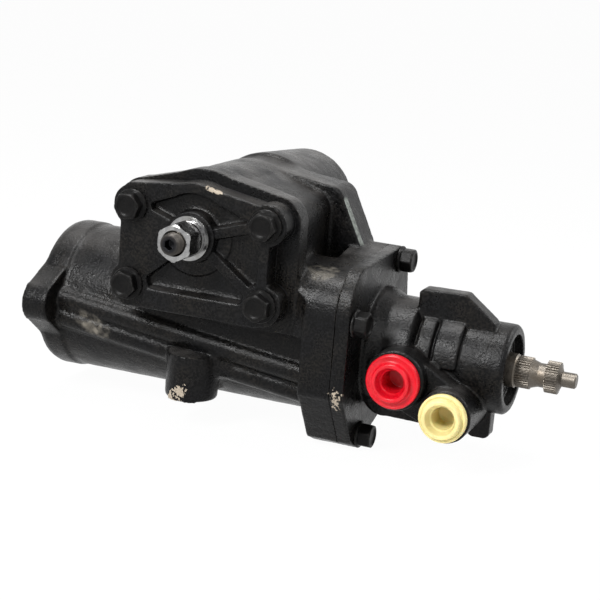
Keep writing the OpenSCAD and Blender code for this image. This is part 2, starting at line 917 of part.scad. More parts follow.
module input_snap_ring() {
    color("#6b6d70")
        framed()
            ring_x(input_seal_r - 4, input_seal_r, snap_start, snap_start + ring_t);
}

// Worm, valve and input shaft

module worm_shaft() {
    color("#a3a5a8")
        framed()
            difference() {
                spun_x()
                    polygon([[0, worm_end], [worm_r - 2, worm_end], [worm_r, worm_end + 2],
                        [worm_r, valve_face - 20], [worm_journal_r - 3, valve_face - 16],
                        [worm_journal_r, valve_face - 14], [worm_journal_r, valve_face + 2],
                        [worm_head_r, valve_face + 2], [worm_head_r, sleeve_start], [0, sleeve_start]]);
                ball_groove(worm_turns[0], worm_turns[1]);
                ring_x(0, bar_r + pin_clear, bar_start, sleeve_start + eps);
                ring_x(0, spool_r + run_clear, spool_start - 2, sleeve_start + eps);
                pin_hole();
            }
}

// Hole for the pin that drives the sleeve from the worm's head
module pin_hole() {
    bar_x([0, pin_ring_r], pin_r + pin_clear, sleeve_start - pin_half - pin_clear,
        sleeve_start + pin_half + pin_clear);
}

// Stations of the seal rings along the sleeve
function ring_stations() = [for (k = [1 : 4]) sleeve_start + sleeve_len * k / 5];

module valve_sleeve() {
    groove_w = 6;
    color("#b0b2b5")
        framed()
            difference() {
                ring_x(spool_r + run_clear, sleeve_r, sleeve_start, sleeve_end);
                for (x = ring_stations())
                    ring_x(sleeve_r - ring_depth, sleeve_r + 1, x - groove_w / 2, x + groove_w / 2);
                pin_hole();
            }
}

module sleeve_rings() {
    ring_w = 3;
    color("#3a3026")
        framed()
            for (x = ring_stations())
                ring_x(sleeve_r - ring_depth + seat_clear, sleeve_r, x - ring_w / 2, x + ring_w / 2);
}

module torsion_bar() {
    color("#8d9094")
        framed()
            ring_x(0, bar_r, bar_start + 1, bar_end);
}

module sleeve_pin() {
    color("#8d9094")
        framed()
            bar_x([0, pin_ring_r], pin_r, sleeve_start - pin_half, sleeve_start + pin_half);
}

module input_shaft() {
    spline_2 = tip_end - pilot_tip_len - 2;
    neck_start = spline_2 - spline_len - neck_len;
    collar_end = nose_end + 2;
    root_r = spline_r - spline_depth;
    color("#a59c8c")
        framed()
            difference() {
                union() {
                    spun_x()
                        polygon([[0, spool_start], [spool_r, spool_start], [spool_r, sleeve_end + 3],
                            [input_journal_r, sleeve_end + 3], [input_journal_r, collar_end],
                            [root_r, collar_end + 1.5], [root_r, neck_start - 4],
                            [neck_r + 0.8, neck_start - 1.5], [neck_r, neck_start + 1],
                            [neck_r, spline_2 - spline_len],
                            [root_r, spline_2 - spline_len], [root_r, spline_2], [pilot_tip_r, spline_2 + 2],
                            [pilot_tip_r, tip_end - tip_round], [pilot_tip_r - tip_round, tip_end],
                            [0, tip_end]]);
                    along_x(collar_end + 1.5, neck_start - 4)
                        serrated(spline_r, spline_depth - 0.1, spline_teeth);
                    along_x(spline_2 - spline_len, spline_2)
                        serrated(spline_r, spline_depth - 0.1, spline_teeth);
                }
                ring_x(0, bar_r + bar_clear, spool_start - eps, bar_end + 1);
            }
}

// Piston and balls

module piston_rack() {
    rack_half = 2 * pitch;
    color("#8b8e92")
        framed()
            difference() {
                ring_x(0, bore_r - run_clear, -piston_back, piston_front);
                ring_x(0, nut_r, -piston_back + 20, piston_front + eps);
                ball_groove(-ball_turns / 2 - 0.1, ball_turns / 2 + 0.1);
                along_y(-bore_r, bore_r) {
                    for (k = [-1 : 1])
                        translate([k * pitch, 0])
                            rack_space();
                    translate([-rack_half, rack_tip_z])
                        square([2 * rack_half, bore_r]);
                }
                ring_x(bore_r - piston_ring_d, bore_r + 1, piston_ring_x, piston_ring_x + piston_ring_d);
                translate([-pocket_len / 2, -pocket_half, -bore_r])
                    cube([pocket_len, 2 * pocket_half, bore_r - nut_r - guide_floor]);
            }
}

module piston_ring() {
    gap = seat_clear;
    color("#3b3b3d")
        framed()
            ring_x(bore_r - piston_ring_d + gap, bore_r - run_clear, piston_ring_x + gap,
                piston_ring_x + piston_ring_d - gap);
}

module circulating_balls() {
    spacing = 1 / 12;
    color("#c8cbd0")
        framed()
            for (t = [-ball_turns / 2 : spacing : ball_turns / 2])
                translate(helix(t, ball_circle_r))
                    sphere(r = ball_r);
}

// A tube that carries the balls from one end of the track to the other
module return_guides() {
    reach = ball_turns * worm_lead / 2;
    color("#9fa2a5")
        framed() {
            rod([-reach, 0, guide_z], [reach, 0, guide_z], guide_r);
            for (s = [-1, 1]) {
                translate([s * reach, 0, guide_z])
                    sphere(r = guide_r);
                rod([s * reach, 0, guide_z], [s * reach, 0, -nut_r - guide_floor - bar_clear], guide_r);
            }
        }
}

module guide_clamp() {
    hole_r = guide_r + pin_clear;
    foot_h = guide_drop - guide_floor - clamp_gap;
    color("#77797c")
        framed()
            along_x(-clamp_half, clamp_half)
                translate([0, guide_z])
                    difference() {
                        union() {
                            circle(r = guide_r + clamp_t);
                            translate([-pocket_half + bar_clear / 2, 0])
                                square([2 * pocket_half - bar_clear, foot_h]);
                        }
                        circle(r = hole_r);
                        translate([-hole_r, 0])
                            square([2 * hole_r, guide_drop]);
                    }
}

// Sector shaft and port plugs

module sector_shaft() {
    color("#9b9ea2")
        framed()
            difference() {
                union() {
                    spun_y()
                        polygon([[0, -journal_end], [journal_r - 1, -journal_end],
                            [journal_r, -journal_end + 1],
                            [journal_r, -sector_w / 2], [hub_r, -sector_w / 2], [hub_r, sector_w / 2],
                            [journal_r, sector_w / 2], [journal_r, output_boss_end],
                            [output_d / 2 - serration, output_start],
                            [output_d / 2 - serration, thread_start],
                            [thread_d / 2, thread_start], [thread_d / 2, shaft_end - serration],
                            [thread_d / 2 - serration, shaft_end], [0, shaft_end]]);
                    along_y(-sector_w / 2, sector_w / 2)
                        at_sector()
                            for (k = [-1 : 1])
                                rotate(k * 360 * tooth_module / (2 * sector_pitch_r))
                                    sector_tooth();
                    along_y(-sector_w / 2, sector_w / 2)
                        at_sector()
                            intersection() {
                                circle(r = sector_root_r);
                                polygon([[0, 0], [-2 * hub_r, -2 * hub_r], [2 * hub_r, -2 * hub_r]]);
                            }
                    along_y(output_start, thread_start)
                        at_sector()
                            serrated(output_d / 2, serration, output_teeth);
                }
                ring_y(0, adjuster_head_r + head_clear, -journal_end - eps,
                    -head_start + adjuster_head_t + head_clear);
            }
}

module port_plug(flange_r) {
    skirt_r = port_r - plug_clear;
    ring_r = port_r + plug_ring;
    hole_r = skirt_r - plug_wall;
    e = plug_edge;
    rotate([90, 0, 0])
        rotate_extrude()
            polygon([[0, -plug_depth], [skirt_r - e, -plug_depth], [skirt_r, -plug_depth + 2 * e], [skirt_r, 0],
                [flange_r - e, 0], [flange_r, e], [flange_r, plug_flange_t - e], [flange_r - e, plug_flange_t],
                [ring_r + e, plug_flange_t + e / 2], [ring_r, plug_out - e], [ring_r - e, plug_out],
                [port_r + e, plug_out], [hole_r + e / 2, plug_flange_t / 2], [hole_r, -plug_depth + plug_wall],
                [0, -plug_depth + plug_wall]]);
}

module pressure_plug() {
    color("#d3152f")
        framed()
            translate([pressure_xz[0], -port_face, pressure_xz[1]])
                port_plug(pressure_boss_r - plug_inset[0]);
}

module return_plug() {
    color("#e9dfb4")
        framed()
            translate([return_xz[0], -port_face, return_xz[1]])
                port_plug(return_boss_r - plug_inset[1]);
}

gear_housing();
valve_housing();
sector_cover();
cover_gasket();
cover_bolts();
valve_bolts();
adjuster_screw();
adjuster_locknut();
adjuster_washer();
cover_bearing();
housing_bearing();
output_seal();
output_snap_ring();
worm_bearing();
valve_seal_ring();
port_seats();
input_bearing();
input_seal();
input_snap_ring();
worm_shaft();
valve_sleeve();
sleeve_rings();
torsion_bar();
sleeve_pin();
input_shaft();
piston_rack();
piston_ring();
circulating_balls();
return_guides();
guide_clamp();
sector_shaft();
pressure_plug();
return_plug();
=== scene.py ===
"""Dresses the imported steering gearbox: cast skins, fasteners, plugs, materials, light and camera."""
import json
import math

import bmesh
import bpy
import numpy as np
from mathutils import Matrix, Vector
from mathutils.bvhtree import BVHTree


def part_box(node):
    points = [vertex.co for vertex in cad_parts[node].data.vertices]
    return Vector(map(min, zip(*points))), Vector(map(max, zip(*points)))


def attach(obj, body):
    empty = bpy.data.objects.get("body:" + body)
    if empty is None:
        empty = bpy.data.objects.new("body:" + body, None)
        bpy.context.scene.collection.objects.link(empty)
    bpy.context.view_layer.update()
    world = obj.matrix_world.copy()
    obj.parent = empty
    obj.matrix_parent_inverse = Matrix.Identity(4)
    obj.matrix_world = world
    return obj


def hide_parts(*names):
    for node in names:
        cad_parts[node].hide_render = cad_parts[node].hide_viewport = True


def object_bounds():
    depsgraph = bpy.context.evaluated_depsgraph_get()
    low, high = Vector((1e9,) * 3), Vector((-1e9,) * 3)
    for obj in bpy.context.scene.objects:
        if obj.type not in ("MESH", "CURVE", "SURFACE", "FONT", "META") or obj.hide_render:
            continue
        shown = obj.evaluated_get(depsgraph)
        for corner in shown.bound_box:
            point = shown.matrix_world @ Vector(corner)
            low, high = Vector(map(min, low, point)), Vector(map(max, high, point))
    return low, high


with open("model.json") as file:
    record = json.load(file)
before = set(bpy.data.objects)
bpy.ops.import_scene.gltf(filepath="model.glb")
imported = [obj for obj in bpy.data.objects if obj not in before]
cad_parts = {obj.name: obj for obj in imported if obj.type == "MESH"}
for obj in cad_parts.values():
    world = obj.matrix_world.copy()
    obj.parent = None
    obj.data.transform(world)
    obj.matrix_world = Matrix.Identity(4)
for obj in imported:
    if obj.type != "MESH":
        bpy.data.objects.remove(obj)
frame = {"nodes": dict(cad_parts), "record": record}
cad_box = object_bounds()
scene = bpy.context.scene

# Places are in millimetres and in the axes of the gear: the worm axis is X, the sector axis is
# parallel to Y at z = 69, and the origin of the part lies on the sector axis.
MM = 0.001
ORIGIN = Vector((0, 148, 69))
SECTOR_Z = ORIGIN.z
FORWARD = Vector((0, -1, 0))
ALONG = Vector((1, 0, 0))


def place(x, y, z):
    """A point of the gear's axes as a point of the part, in metres."""
    return (Vector((x, y, z)) - ORIGIN) * MM


def corner(node, end):
    """The lowest (0) or highest (1) corner of a CAD node, in the gear's axes."""
    return [round(c / MM + o, 3) for c, o in zip(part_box(node)[end], ORIGIN)]


# The joint of the two housings, and the two faces that the cover's gasket lies between
VALVE_FACE_X = corner("gear_housing", 1)[0]
CHAMBER_FACE_Y = corner("cover_gasket", 1)[1]
COVER_BACK_Y = corner("cover_gasket", 0)[1]


# Materials

class Look:
    """A Principled material with a few short ways to add its nodes."""

    def __init__(self, name, **sockets):
        self.material = bpy.data.materials.new(name)
        self.material.use_nodes = True
        self.tree = self.material.node_tree
        self.shader = self.tree.nodes["Principled BSDF"]
        self.object_coords = self.node("ShaderNodeTexCoord").outputs["Object"]
        self.put(**sockets)

    def node(self, kind, **values):
        """A new node with some of its settings."""
        made = self.tree.nodes.new(kind)
        for key, value in values.items():
            setattr(made, key, value)
        return made

    def join(self, source, socket):
        """Links a socket to the output of a node, or sets it to a value."""
        if isinstance(source, bpy.types.NodeSocket):
            self.tree.links.new(source, socket)
        else:
            socket.default_value = source

    def noise(self, size_mm, detail=3.0, rough=0.55, squeeze=None):
        """Noise of a size, which can be squeezed along the axes."""
        made = self.node("ShaderNodeTexNoise")
        made.inputs["Scale"].default_value = 1 / (size_mm * MM)
        made.inputs["Detail"].default_value = detail
        made.inputs["Roughness"].default_value = rough
        coords = self.object_coords
        if squeeze:
            mapping = self.node("ShaderNodeMapping")
            mapping.inputs["Scale"].default_value = squeeze
            self.join(coords, mapping.inputs["Vector"])
            coords = mapping.outputs["Vector"]
        self.join(coords, made.inputs["Vector"])
        return made.outputs["Fac"]

    def span(self, value, low, high, to_low=0.0, to_high=1.0):
        """A value taken smoothly from one range to another."""
        made = self.node("ShaderNodeMapRange")
        made.interpolation_type = "SMOOTHSTEP"
        for key, number in (("From Min", low), ("From Max", high), ("To Min", to_low), ("To Max", to_high)):
            made.inputs[key].default_value = number
        self.join(value, made.inputs["Value"])
        return made.outputs["Result"]

    def math(self, operation, a, b):
        """A sum, product or comparison of two values, held between 0 and 1."""
        made = self.node("ShaderNodeMath", operation=operation, use_clamp=True)
        self.join(a, made.inputs[0])
        self.join(b, made.inputs[1])
        return made.outputs["Value"]

    def over(self, under, colour, *shares):
        """A colour laid over another by the product of some shares."""
        share = shares[0]
        for other in shares[1:]:
            share = self.math("MULTIPLY", share, other)
        made = self.node("ShaderNodeMix", data_type="RGBA")
        self.join(share, made.inputs["Factor"])
        for source, socket in zip((under, colour), [s for s in made.inputs if s.type == "RGBA"]):
            self.join((*source, 1) if isinstance(source, tuple) else source, socket)
        return [s for s in made.outputs if s.type == "RGBA"][0]

    def near(self, point, radius_mm, soft_mm):
        """1 within a radius of a point, fading to 0 over a further distance."""
        made = self.node("ShaderNodeVectorMath", operation="DISTANCE")
        self.join(self.object_coords, made.inputs[0])
        made.inputs[1].default_value = point
        return self.span(made.outputs["Value"], (radius_mm + soft_mm) * MM, radius_mm * MM)

    def along(self, direction, low_mm, high_mm, soft_mm):
        """1 between two distances along a direction of the gear's axes, fading to 0 outside them."""
        made = self.node("ShaderNodeVectorMath", operation="DOT_PRODUCT")
        self.join(self.object_coords, made.inputs[0])
        made.inputs[1].default_value = direction
        low, high = (limit - ORIGIN.dot(Vector(direction)) for limit in (low_mm, high_mm))
        rise = self.span(made.outputs["Value"], (low - soft_mm) * MM, low * MM)
        fall = self.span(made.outputs["Value"], (high + soft_mm) * MM, high * MM)
        return self.math("MULTIPLY", rise, fall)

    def spots(self, places, soft_mm):
        """The sum of round spots, each given by its place, radius and strength."""
        total = 0.0
        for where, radius_mm, strength in places:
            spot = self.math("MULTIPLY", self.near(place(*where), radius_mm, soft_mm), strength)
            total = self.math("ADD", total, spot)
        return total

    def facing(self, direction, low, high):
        """1 where the surface faces a direction of the part."""
        made = self.node("ShaderNodeVectorMath", operation="DOT_PRODUCT")
        self.join(self.node("ShaderNodeNewGeometry").outputs["Normal"], made.inputs[0])
        made.inputs[1].default_value = Vector(direction).normalized()
        return self.span(made.outputs["Value"], low, high)

    def edges(self, low, high):
        """1 along the outer edges of the surface."""
        return self.span(self.node("ShaderNodeNewGeometry").outputs["Pointiness"], low, high)

    def bump(self, height, depth_mm, under=None):
        """A normal that follows a height, on top of another normal if one is given."""
        made = self.node("ShaderNodeBump")
        made.inputs["Strength"].default_value = 1.0
        made.inputs["Distance"].default_value = depth_mm * MM
        self.join(height, made.inputs["Height"])
        if under is not None:
            self.join(under, made.inputs["Normal"])
        return made.outputs["Normal"]

    def put(self, **sources):
        """Joins sources to the sockets of the shader."""
        for key, source in sources.items():
            self.join(source, self.shader.inputs[key.replace("_", " ")])
        return self.material


# Colours of the castings, from the paint to the bare iron
PAINT_BLACK = (0.0045, 0.0045, 0.005)
PAINT_BROWN = (0.0095, 0.0082, 0.0068)
# Painted shade in the hollows between the grains
GRAIN_HOLLOW_SHADE = (0.0012, 0.0012, 0.0013)
# Dust on top, together with a painted sheen where the light falls from above, left and behind
DUST_AND_SHEEN = (0.075, 0.071, 0.068)
RUBBED_EDGE = (0.085, 0.074, 0.062)
RUBBED_SPOT = (0.16, 0.145, 0.12)
BARE_WEB = (0.19, 0.21, 0.19)
BARE_IRON = (0.30, 0.255, 0.20)

# Colours of the bolts and of the grime and painted shade in the adjuster's socket
OXIDE_DARK = (0.002, 0.002, 0.0023)
OXIDE_PALE = (0.006, 0.0056, 0.0052)
BOLT_STEEL = (0.22, 0.21, 0.20)
GRIME_AND_SHADE = (0.02, 0.02, 0.022)

# Grain of the castings and flakes of their paint: size, depth, and the level above which paint is off
GRAIN_MM = 1.4
GRAIN_DEPTH_MM = 0.34
LUMP_MM = 5
LUMP_DEPTH_MM = 0.15
FLAKE_MM = 1.7
FLAKE_LEVEL = 0.97
# Strength and side of the dust and its painted sheen: the side leans towards the light above, left and
# behind
DUST_AND_SHEEN_STRENGTH = 0.6
DUST_AND_SHEEN_SIDE = (-0.1, 0.1, 1)
RUB_STRENGTH = 0.45

# Where the paint of the castings is chipped off and where it is only rubbed: place, radius, strength.
# The chips are on the cover's upper edge, the front lug and the corner of the valve housing's flange.
CHIPS = [
    ((9, -76.5, 102), 1.0, 0.5), ((14, -76.5, 101.4), 1.4, 0.55), ((18.5, -76.5, 100.6), 0.8, 0.5),
    ((-14, -58, -44), 3.5, 0.48), ((-10, -61, -40), 5.0, 0.42), ((-5, -63, -35), 3.0, 0.36),
    ((100.5, -64, -19), 4.0, 0.42), ((100, -62, -29), 3.5, 0.4),
]
CHIP_SOFT = 4
RUBBED = [
    ((78, -45, 52), 9, 0.4), ((-88, -55, -3.5), 4, 0.35), ((-81, -55, -7), 6, 0.45),
    ((-73, -55, -11), 5, 0.35),
]
RUBBED_SOFT = 3

# The bare strip on the edge of the housing's web: the way it faces, its reach, and how softly it ends
WEB_EDGE = (0.855, 0, 0.518)
WEB_STRIP_Y = (10, 16, 0.8)
WEB_STRIP_Z = (64, 90, 3)


def casting_paint():
    """Black paint over sand-cast iron: grainy with painted shade in the grain's hollows, dusty with a
    painted sheen on top, rubbed on edges, chipped in places.
    """
    look = Look("cast_black", Specular_IOR_Level=0.14)
    grain = look.noise(GRAIN_MM)
    tone = look.over(PAINT_BLACK, PAINT_BROWN, look.span(look.noise(24), 0.35, 0.7))
    # Painted shade where the grain, which also makes the bump, is low
    tone = look.over(tone, GRAIN_HOLLOW_SHADE, look.span(grain, 0.62, 0.4))
    # Dust and a painted sheen on the faces that turn up towards the light
    tone = look.over(tone, DUST_AND_SHEEN, look.facing(DUST_AND_SHEEN_SIDE, 0.55, 1.0),
                     look.span(look.noise(36), 0.35, 0.75), DUST_AND_SHEEN_STRENGTH)
    tone = look.over(tone, RUBBED_EDGE, look.edges(0.53, 0.62),
                     look.span(look.noise(7), 0.4, 0.7), RUB_STRENGTH)
    tone = look.over(tone, RUBBED_SPOT, look.spots(RUBBED, RUBBED_SOFT),
                     look.span(look.noise(5, 5), 0.35, 0.65))
    tone = look.over(tone, BARE_WEB, look.facing(WEB_EDGE, 0.75, 0.95),
                     look.along((0, 1, 0), *WEB_STRIP_Y), look.along((0, 0, 1), *WEB_STRIP_Z),
                     look.span(look.noise(3, 4), 0.3, 0.6, 0.35, 1.0))
    loose = look.math("ADD", look.spots(CHIPS, CHIP_SOFT), look.noise(FLAKE_MM, 4))
    tone = look.over(tone, BARE_IRON, look.math("GREATER_THAN", loose, FLAKE_LEVEL))
    rough = look.span(look.noise(11), 0.3, 0.7, 0.24, 0.36)
    lumps = look.bump(look.noise(LUMP_MM, 2), LUMP_DEPTH_MM)
    return look.put(Base_Color=tone, Roughness=rough, Normal=look.bump(grain, GRAIN_DEPTH_MM, lumps))


def metal(name, pale, dark, rough, grain_mm, squeeze=None, stain=None, grime_and_shade=None):
    """A worn metal surface with fine tool marks, with stains if given, and with grime and painted shade
    round a place if given.
    """
    stain_mm, stain_strength = 9, 0.6
    look = Look(name, Metallic=1.0)
    marks = look.noise(grain_mm, 4, 0.6, squeeze)
    tone = look.over(dark, pale, look.span(marks, 0.3, 0.7))
    if stain:
        tone = look.over(tone, stain, look.span(look.noise(stain_mm), 0.5, 0.75), stain_strength)
    if grime_and_shade:
        # Grime and painted shade round a place, such as the hollow of the adjuster's socket
        tone = look.over(tone, GRIME_AND_SHADE, look.near(*grime_and_shade))
    roughness = look.span(look.noise(grain_mm * 2), 0.3, 0.7, rough - 0.08, rough + 0.08)
    return look.put(Base_Color=tone, Roughness=roughness, Normal=look.bump(marks, 0.03))


def black_bolt():
    """Black oxide on forged bolts, faintly worn to steel along their edges."""
    wear_strength = 0.15
    look = Look("bolt_black", Specular_IOR_Level=0.09)
    tone = look.over(OXIDE_DARK, OXIDE_PALE, look.noise(5))
    tone = look.over(tone, BOLT_STEEL, look.edges(0.52, 0.6), look.span(look.noise(2.2), 0.3, 0.7),
                     wear_strength)
    grain = look.noise(0.9)
    return look.put(Base_Color=tone, Roughness=look.span(grain, 0.3, 0.7, 0.26, 0.44),
                    Normal=look.bump(grain, 0.1))


def moulded(name, main, shade, rough, subsurface=0.0):
    """A moulded surface with faint flow marks."""
    look = Look(name, Subsurface_Weight=subsurface, Subsurface_Scale=0.004, Specular_IOR_Level=0.3)
    tone = look.over(shade, main, look.span(look.noise(14), 0.3, 0.7))
    roughness = look.span(look.noise(5), 0.3, 0.7, rough - 0.06, rough + 0.06)
    return look.put(Base_Color=tone, Roughness=roughness, Normal=look.bump(look.noise(0.8, 2), 0.02))


# Grime and painted shade in and round the adjuster's hexagon socket: its middle, its radius and how far it
# fades out
SOCKET_DEPTH = 6.0
SOCKET_RIM = 1.5
socket_middle = Vector((0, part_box("adjuster_screw")[0].y + SOCKET_DEPTH * MM / 2, 0))
SOCKET_GRIME_AND_SHADE = (socket_middle, SOCKET_DEPTH / 2 + SOCKET_RIM, SOCKET_DEPTH)
RINGS_ROUND_SHAFT = (4, 1, 1)

LOOKS = {
    "casting": casting_paint(),
    "black_bolts": black_bolt(),
    "zinc": metal("zinc_plate", (0.40, 0.40, 0.395), (0.26, 0.26, 0.265), 0.2, 3.0,
                  stain=(0.24, 0.235, 0.22)),
    "shaft_steel": metal("shaft_steel", (0.18, 0.162, 0.14), (0.08, 0.071, 0.06), 0.42, 0.8,
                         RINGS_ROUND_SHAFT, stain=(0.12, 0.095, 0.07), grime_and_shade=SOCKET_GRIME_AND_SHADE),
    "inner_steel": metal("inner_steel", (0.52, 0.52, 0.52), (0.36, 0.36, 0.36), 0.3, 1.0),
    "bearing_steel": metal("bearing_steel", (0.60, 0.61, 0.62), (0.45, 0.45, 0.46), 0.22, 0.8),
    "piston_iron": metal("piston_iron", (0.34, 0.33, 0.32), (0.2, 0.2, 0.2), 0.42, 1.4),
    "seal_rubber": moulded("seal_rubber", (0.016, 0.016, 0.017), (0.008, 0.008, 0.008), 0.5),
    "seal_plastic": moulded("seal_plastic", (0.055, 0.05, 0.045), (0.03, 0.03, 0.03), 0.45),
    "seat_brass": metal("seat_brass", (0.60, 0.44, 0.20), (0.42, 0.29, 0.12), 0.3, 0.9),
    "plug_red": moulded("plug_red", (0.56, 0.005, 0.015), (0.44, 0.003, 0.010), 0.3, 0.1),
    "plug_ivory": moulded("plug_ivory", (0.66, 0.57, 0.26), (0.56, 0.47, 0.20), 0.34, 0.1),
}

slot_of = {s["node"]: s["material_slot"] for s in frame["record"]["subparts"]}
for node, obj in frame["nodes"].items():
    obj.data.materials.clear()
    obj.data.materials.append(LOOKS[slot_of[node]])


# Cast skins

# Share of the way to its neighbours that a point moves in a round, and rounds between new normals
STEP_SHARE = 0.5
NORMAL_ROUNDS = 8

# Within these radii of the worm axis, on either side of the joint, and of the sector axis all is bored
CYLINDER_FIT_R = 43
VALVE_FIT_R = 25.5
SECTOR_FIT_R = 24

# Where the castings have wide fillets: the lowest and highest corner of each region and their rounds.
# In the housing they are the hollow beside the chamber, the foot of the front lug and the step up to the
# output boss, and in the cover the lower edge of its lowest pocket.
FILLET_FADE = 8
HOUSING_FILLETS = [
    ((46, -90, 24), (VALVE_FACE_X, -2, 120), 120),
    ((-32, -80, -60), (24, -36, -4), 60),
    ((-48, 12, 86), (50, 48, 125), 60),
]
COVER_FILLETS = [((-40, -95, 16), (50, -45, 42), 90)]

# Name, grain and depth of each relief of a sand-cast surface
RELIEFS = (("swell", 9.0, 0.22), ("sand", 1.8, 0.16))
CAST_SHARP_DEG = 55


def in_gear(points):
    """Points of the part, in metres, as points of the gear's axes."""
    return points / MM + np.array(ORIGIN)


def neighbour_sum(values, edges):
    """For each point the sum of a value over the points that an edge joins to it."""
    return (np.bincount(edges[:, 0], values[edges[:, 1]], len(values))
            + np.bincount(edges[:, 1], values[edges[:, 0]], len(values)))


def relax(points, edges, hold, rounds):
    """Moves each point towards the mean of its neighbours, apart from the held ones."""
    degree = np.bincount(edges.ravel(), minlength=len(points))
    step = (STEP_SHARE * (1 - hold) / np.maximum(degree, 1))[:, None]
    for _ in range(rounds):
        total = np.stack([neighbour_sum(points[:, k], edges) for k in range(3)], axis=1)
        points = points + step * (total - degree[:, None] * points)
    return points


def outward(points, quads):
    """Unit normals of the points, from the diagonals of the faces round them."""
    a, b, c, d = (points[quads[:, k]] for k in range(4))
    across = np.cross(c - a, d - b)
    normals = np.zeros_like(points)
    for k in range(4):
        for axis in range(3):
            normals[:, axis] += np.bincount(quads[:, k], across[:, axis], len(points))
    return normals / np.maximum(np.linalg.norm(normals, axis=1, keepdims=True), 1e-12)


def fill_corners(points, edges, quads, hold, rounds):
    """Raises the points in hollow corners, which gives them the wide fillets of a casting."""
    degree = np.maximum(np.bincount(edges.ravel(), minlength=len(points)), 1)
    for turn in range(rounds):
        if turn % NORMAL_ROUNDS == 0:
            normals = outward(points, quads)
        rise = np.zeros(len(points))
        for k in range(3):
            rise += (neighbour_sum(points[:, k], edges) / degree - points[:, k]) * normals[:, k]
        points = points + (STEP_SHARE * (1 - hold) * np.maximum(rise, 0))[:, None] * normals
    return points


def fitted_share(points, near_mm):
    """1 on bores and joint faces, which keep their CAD form, and 0 on the outside of the castings."""
    gear = in_gear(points)
    worm_r = np.hypot(gear[:, 1], gear[:, 2])
    sector_r = np.hypot(gear[:, 0], gear[:, 2] - SECTOR_Z)
    worm_fit_r = np.where(gear[:, 0] < VALVE_FACE_X + 1, CYLINDER_FIT_R, VALVE_FIT_R)
    bore = (worm_r < worm_fit_r) | (sector_r < SECTOR_FIT_R)
    joint = np.abs(gear[:, 0] - VALVE_FACE_X) < near_mm
    for level in (CHAMBER_FACE_Y, COVER_BACK_Y):
        joint |= np.abs(gear[:, 1] - level) < near_mm
    return (bore & (gear[:, 1] > COVER_BACK_Y) | joint).astype(float)


def region_share(points, low, high):
    """1 inside a box of the gear's axes, fading to 0 at its sides."""
    gear = in_gear(points)
    inside = np.minimum(gear - np.array(low), np.array(high) - gear) / FILLET_FADE
    return np.prod(np.clip(inside, 0, 1), axis=1)


def widen_fillets(points, edges, quads, hold, regions):
    """Fills the corners inside some regions further and smooths them."""
    for low, high, rounds in regions:
        share = (1 - hold) * region_share(points, low, high)
        inside = np.nonzero(share)[0]
        number = np.full(len(points), -1)
        number[inside] = np.arange(len(inside))
        near_edges, near_quads = (group[np.all(group >= 0, axis=1)]
                                  for group in (number[edges], number[quads]))
        held = 1 - share[inside]
        patch = fill_corners(points[inside], near_edges, near_quads, held, rounds)
        points[inside] = relax(patch, near_edges, held, rounds // 4)
    return points


def arrays(mesh):
    """The points, edges and quads of a mesh."""
    points = np.empty(len(mesh.vertices) * 3)
    mesh.vertices.foreach_get("co", points)
    edges = np.empty(len(mesh.edges) * 2, np.int64)
    mesh.edges.foreach_get("vertices", edges)
    quads = np.array([tuple(p.vertices) for p in mesh.polygons])
    return points.reshape(-1, 3), edges.reshape(-1, 2), quads


def apply_modifiers(obj):
    """Gives an object the mesh that its modifiers make."""
    bpy.context.view_layer.update()
    made = obj.evaluated_get(bpy.context.evaluated_depsgraph_get())
    mesh = bpy.data.meshes.new_from_object(made)
    obj.modifiers.clear()
    obj.data = mesh


def add_relief(obj, outside):
    """The swells and the sand grain of a cast surface, on some of its points."""
    group = obj.vertex_groups.new(name="outside")
    group.add(outside.tolist(), 1.0, "REPLACE")
    for label, grain_mm, depth_mm in RELIEFS:
        texture = bpy.data.textures.new(obj.name + "_" + label, "CLOUDS")
        texture.noise_scale = grain_mm * MM
        texture.noise_depth = 1
        relief = obj.modifiers.new(label, "DISPLACE")
        relief.texture = texture
        relief.texture_coords = "LOCAL"
        relief.strength = depth_mm * MM
        relief.mid_level = 0.5
        relief.vertex_group = group.name


def cast_skin(name, node, voxel_mm, rounds, fillet_rounds, wide_fillets=()):
    """A sand-cast skin over a CAD casting: the same form with rounded edges and a grainy surface."""
    source = frame["nodes"][node].data
    obj = bpy.data.objects.new(name, source.copy())
    scene.collection.objects.link(obj)
    remesh = obj.modifiers.new("voxels", "REMESH")
    remesh.mode = "VOXEL"
    remesh.voxel_size = voxel_mm * MM
    apply_modifiers(obj)
    points, edges, quads = arrays(obj.data)
    hold = fitted_share(points, voxel_mm)
    points = relax(points, edges, hold, rounds)
    points = fill_corners(points, edges, quads, hold, fillet_rounds)
    points = widen_fillets(points, edges, quads, hold, wide_fillets)
    tree = BVHTree.FromPolygons([v.co for v in source.vertices],
                                [tuple(p.vertices) for p in source.polygons])
    for i in np.nonzero(hold)[0]:
        points[i] = tree.find_nearest(Vector(points[i]))[0]
    obj.data.vertices.foreach_set("co", points.ravel())
    obj.data.update()
    add_relief(obj, np.nonzero(hold == 0)[0])
    apply_modifiers(obj)
    obj.data.name = name
    obj.data.materials.clear()
    obj.data.materials.append(LOOKS["casting"])
    obj.data.shade_smooth()
    obj.data.set_sharp_from_angle(angle=math.radians(CAST_SHARP_DEG))
    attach(obj, "housing")
    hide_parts(node)


# Turned pieces

# Points round a piece, how tight the corners of its hexagons are, and rings in one turn of a thread
SEGMENTS = 72
HEX_CORNER = 36
THREAD_STEPS = 8
THREAD_PITCH = 1.5

# Angle of the first bolt of a node, and of each next one, in radians
BOLT_TURN = 0.3
NEXT_TURN = 0.37

# Share of a bolt's shank that has no thread
PLAIN_SHANK = 0.35

